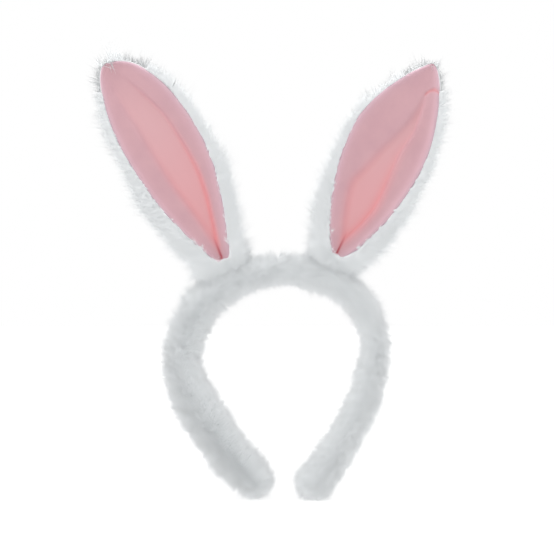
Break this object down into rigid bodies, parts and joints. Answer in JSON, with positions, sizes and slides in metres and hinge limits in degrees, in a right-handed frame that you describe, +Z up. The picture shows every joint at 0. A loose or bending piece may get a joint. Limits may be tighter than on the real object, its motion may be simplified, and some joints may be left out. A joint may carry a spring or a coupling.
{
  "type": "animal ears headband",
  "caption": "Plush covered hair band with two upright rabbit ears, pink cloth linings and bendable wire edges, worn over the head.",
  "frame": {"origin": "where the crown's plush rests on the head, at the middle of the band's underside", "axes": "+Z up along the wearer's head, -Y to the front (the pink side), +X to the right as seen from the front"},
  "size_m": [0.24, 0.0294, 0.2968],
  "materials": {
    "white_plush": "long pile plush",
    "pink_lining": "brushed woven cloth with a soft sheen",
    "pink_thread": "sewing thread",
    "white_thread": "sewing thread",
    "wadding": "soft polyester wadding",
    "band_core": "moulded, satin",
    "anchor_tape": "cloth tape",
    "soft_wire": "annealed wire"
  },
  "bodies": {
    "crown": {"core_crown": "band_core", "wadding_crown": "wadding", "sleeve_crown": "white_plush", "seam_crown": "white_thread", "left_wire_foot": "soft_wire", "left_foot_tape": "anchor_tape", "right_wire_foot": "soft_wire", "right_foot_tape": "anchor_tape"},
    "left_arm": {"core_left_arm": "band_core", "wadding_left_arm": "wadding", "sleeve_left_arm": "white_plush", "seam_left_arm": "white_thread", "tip_stitch_left": "white_thread"},
    "right_arm": {"core_right_arm": "band_core", "wadding_right_arm": "wadding", "sleeve_right_arm": "white_plush", "seam_right_arm": "white_thread", "tip_stitch_right": "white_thread"},
    "left_ear_root": {"left_ear_stem": "soft_wire"},
    "left_ear_lower": {"left_ear_back_lower": "white_plush", "left_ear_lining_lower": "pink_lining", "left_ear_wire_lower": "soft_wire", "left_ear_seam_lower": "pink_thread", "left_ear_pleat_tack": "pink_thread"},
    "left_ear_upper": {"left_ear_back_upper": "white_plush", "left_ear_lining_upper": "pink_lining", "left_ear_wire_upper": "soft_wire", "left_ear_seam_upper": "pink_thread"},
    "right_ear_root": {"right_ear_stem": "soft_wire"},
    "right_ear_lower": {"right_ear_back_lower": "white_plush", "right_ear_lining_lower": "pink_lining", "right_ear_wire_lower": "soft_wire", "right_ear_seam_lower": "pink_thread", "right_ear_pleat_tack": "pink_thread"},
    "right_ear_upper": {"right_ear_back_upper": "white_plush", "right_ear_lining_upper": "pink_lining", "right_ear_wire_upper": "soft_wire", "right_ear_seam_upper": "pink_thread"}
  },
  "joints": [
    {"name": "left_arm_flex", "type": "hinge", "parent": "crown", "child": "left_arm", "pos_m": [-0.0585, 0, -0.0278], "axis": [0, 1, 0], "range_deg": [-5, 20], "stiffness_Nm_per_rad": 1.5},
    {"name": "right_arm_flex", "type": "hinge", "parent": "crown", "child": "right_arm", "pos_m": [0.061, 0, -0.0228], "axis": [0, -1, 0], "range_deg": [-5, 20], "stiffness_Nm_per_rad": 1.5},
    {"name": "left_ear_spread", "type": "hinge", "parent": "crown", "child": "left_ear_root", "pos_m": [-0.0352, 0, 0.0128], "axis": [0, -1, 0], "range_deg": [-15, 20]},
    {"name": "left_ear_tilt", "type": "hinge", "parent": "left_ear_root", "child": "left_ear_lower", "pos_m": [-0.03637, 0, 0.01501], "axis": [0.8846, 0, 0.4664], "range_deg": [-30, 40]},
    {"name": "left_ear_flop", "type": "hinge", "parent": "left_ear_lower", "child": "left_ear_upper", "pos_m": [-0.06896, -0.01023, 0.07683], "axis": [0.8846, 0, 0.4664], "range_deg": [-10, 75]},
    {"name": "right_ear_spread", "type": "hinge", "parent": "crown", "child": "right_ear_root", "pos_m": [0.0377, 0, 0.017], "axis": [0, 1, 0], "range_deg": [-15, 20]},
    {"name": "right_ear_tilt", "type": "hinge", "parent": "right_ear_root", "child": "right_ear_lower", "pos_m": [0.03878, 0, 0.01925], "axis": [0.9011, 0, -0.4337], "range_deg": [-30, 40]},
    {"name": "right_ear_flop", "type": "hinge", "parent": "right_ear_lower", "child": "right_ear_upper", "pos_m": [0.06715, -0.01023, 0.0782], "axis": [0.9011, 0, -0.4337], "range_deg": [-10, 75]}
  ]
}
